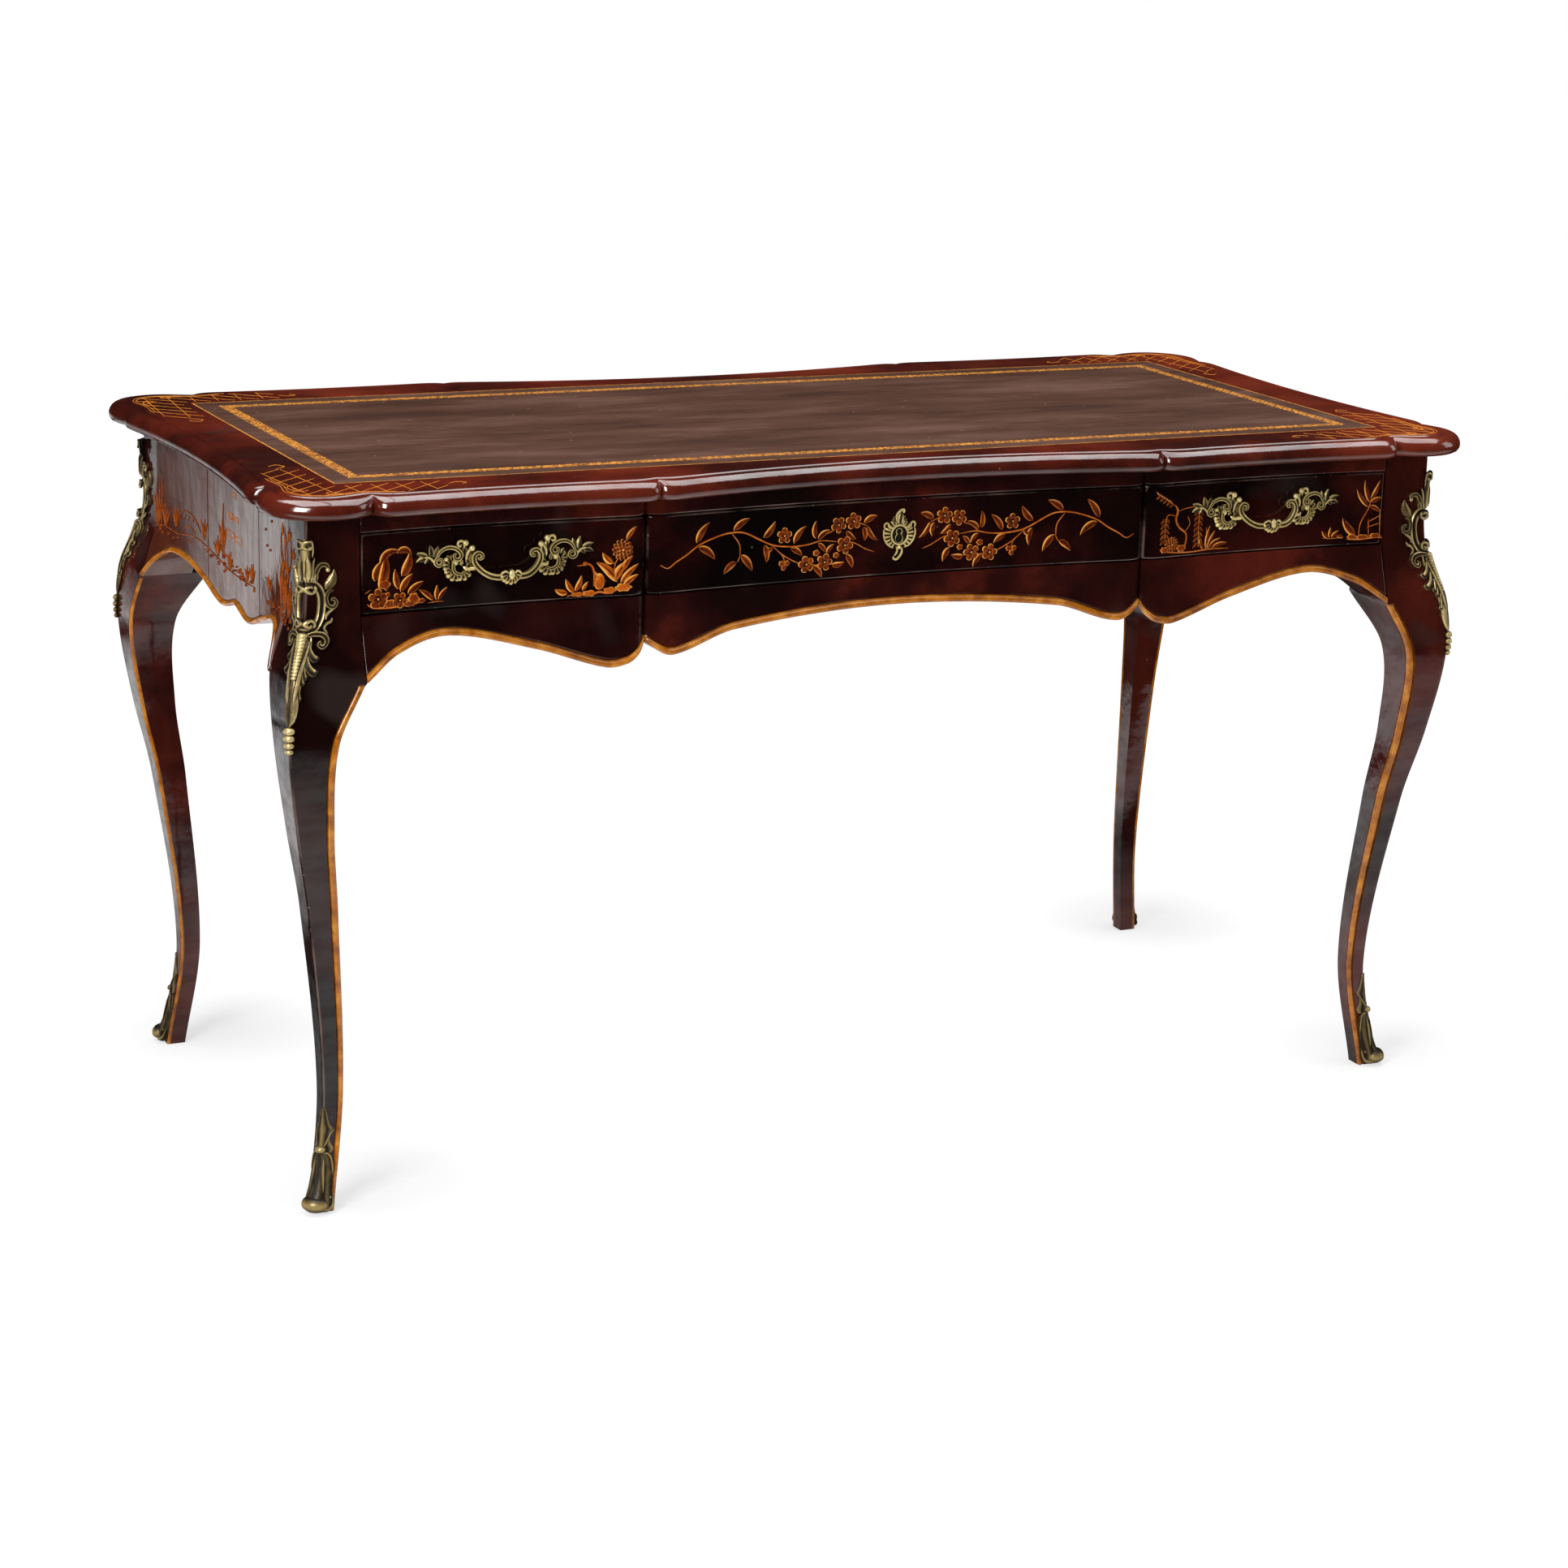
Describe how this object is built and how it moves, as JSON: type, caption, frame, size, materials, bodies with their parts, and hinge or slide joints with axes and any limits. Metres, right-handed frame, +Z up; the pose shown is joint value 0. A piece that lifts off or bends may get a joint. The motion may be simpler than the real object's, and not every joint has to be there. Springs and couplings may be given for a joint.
{
  "type": "bureau plat",
  "caption": "Flat writing desk on cabriole legs: shaped top with leather field, frieze drawers in a hollowed front, bronze corner mounts, shoes, pulls and escutcheon.",
  "frame": {"origin": "on the floor under the middle of the desk", "axes": "+Z up, +X to the right seen from the front, the drawers open towards -Y"},
  "size_m": [1.4294, 0.69, 0.77],
  "materials": {
    "red_brown_lacquer": "worn gloss lacquer",
    "leather": "worn tooled leather",
    "dark_lacquer": "dark gloss lacquer",
    "oak": "plain",
    "bronze": "aged gilding",
    "steel": "dull"
  },
  "bodies": {
    "frame": {"top_board": "red_brown_lacquer", "leather_panel": "leather", "leg_front_left": "dark_lacquer", "leg_front_right": "dark_lacquer", "leg_back_left": "dark_lacquer", "leg_back_right": "dark_lacquer", "front_rail": "dark_lacquer", "back_rail": "dark_lacquer", "front_skirt": "dark_lacquer", "back_skirt": "dark_lacquer", "side_panel_left": "dark_lacquer", "side_panel_right": "dark_lacquer", "back_front_left": "dark_lacquer", "back_front_centre": "dark_lacquer", "back_front_right": "dark_lacquer", "divider_left": "oak", "divider_right": "oak", "runner_left_centre": "oak", "runner_left_bay": "oak", "runner_left_outer": "oak", "runner_right_centre": "oak", "runner_right_bay": "oak", "runner_right_outer": "oak", "kicker_left": "oak", "kicker_centre": "oak", "kicker_right": "oak", "chute_front_left": "bronze", "chute_front_right": "bronze", "chute_back_left": "bronze", "chute_back_right": "bronze", "sabot_front_left": "bronze", "sabot_front_right": "bronze", "sabot_back_left": "bronze", "sabot_back_right": "bronze"},
    "drawer_left": {"drawer_left_front": "dark_lacquer", "drawer_left_side_left": "oak", "drawer_left_side_right": "oak", "drawer_left_back": "oak", "drawer_left_bottom": "oak", "handle_left": "bronze", "handle_bolt_left_left": "steel", "handle_bolt_left_right": "steel"},
    "drawer_centre": {"drawer_centre_front": "dark_lacquer", "drawer_centre_side_left": "oak", "drawer_centre_side_right": "oak", "drawer_centre_back": "oak", "drawer_centre_bottom": "oak", "escutcheon": "bronze", "lock_case": "steel"},
    "drawer_right": {"drawer_right_front": "dark_lacquer", "drawer_right_side_left": "oak", "drawer_right_side_right": "oak", "drawer_right_back": "oak", "drawer_right_bottom": "oak", "handle_right": "bronze", "handle_bolt_right_left": "steel", "handle_bolt_right_right": "steel"},
    "lock_bolt": {"lock_bolt": "steel"}
  },
  "joints": [
    {"name": "drawer_left_slide", "type": "slide", "parent": "frame", "child": "drawer_left", "axis": [0, -1, 0], "range_m": [0, 0.34]},
    {"name": "drawer_centre_slide", "type": "slide", "parent": "frame", "child": "drawer_centre", "axis": [0, -1, 0], "range_m": [0, 0.34]},
    {"name": "drawer_right_slide", "type": "slide", "parent": "frame", "child": "drawer_right", "axis": [0, -1, 0], "range_m": [0, 0.34]},
    {"name": "lock_bolt_slide", "type": "slide", "parent": "drawer_centre", "child": "lock_bolt", "axis": [0, 0, 1], "range_m": [0, 0.008]}
  ]
}
